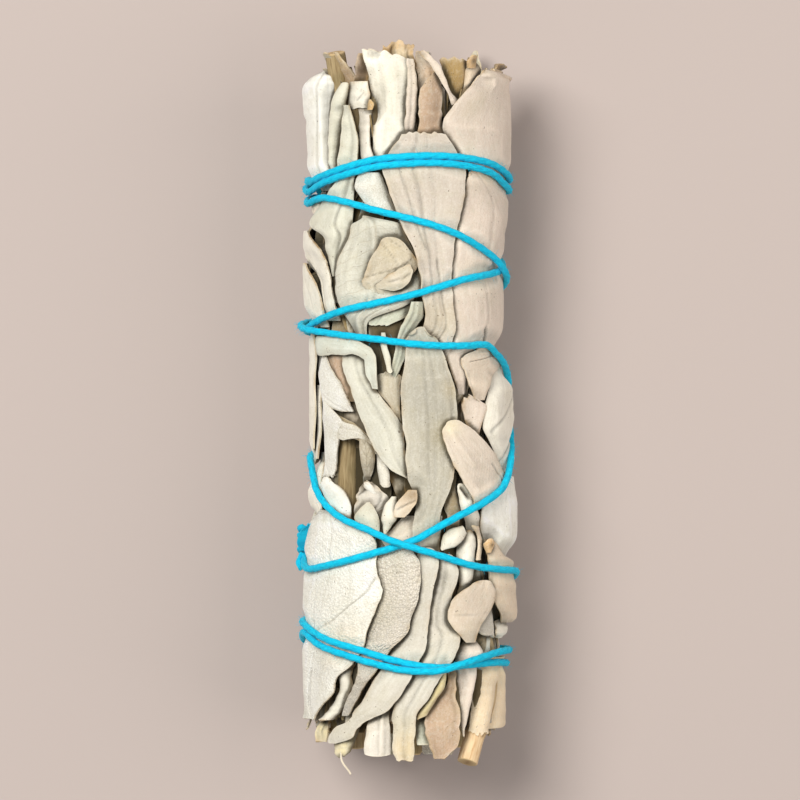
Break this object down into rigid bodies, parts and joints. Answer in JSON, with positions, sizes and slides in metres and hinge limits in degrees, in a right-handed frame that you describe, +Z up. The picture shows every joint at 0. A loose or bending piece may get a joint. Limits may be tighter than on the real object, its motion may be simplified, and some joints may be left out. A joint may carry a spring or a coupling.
{
  "type": "sage bunch",
  "caption": "Dried white sage sprigs pressed into a short cylinder and bound lengthwise with wound cotton string, lying flat.",
  "frame": {"origin": "on the surface the bundle lies on, under the middle of its box", "axes": "+Y along the bundle towards its leafy end, +Z up, +X to the right of the bundle seen from above with its leafy end away"},
  "size_m": [0.0323, 0.1017, 0.0304],
  "materials": {
    "leaf": "dry, felted, very pale grey-cream with golden rims",
    "stem": "dry tan bark, fibrous",
    "string": "matte dyed cotton, twisted"
  },
  "bodies": {
    "root": {"sprig_1_leaves": "leaf", "sprig_2_leaves": "leaf", "sprig_3_leaves": "leaf", "sprig_4_leaves": "leaf", "sprig_5_leaves": "leaf", "sprig_6_leaves": "leaf", "sprig_7_leaves": "leaf", "sprig_1_stem": "stem", "sprig_2_stem": "stem", "sprig_3_stem": "stem", "sprig_4_stem": "stem", "sprig_5_stem": "stem", "sprig_6_stem": "stem", "sprig_7_stem": "stem", "twine": "string"}
  },
  "joints": []
}
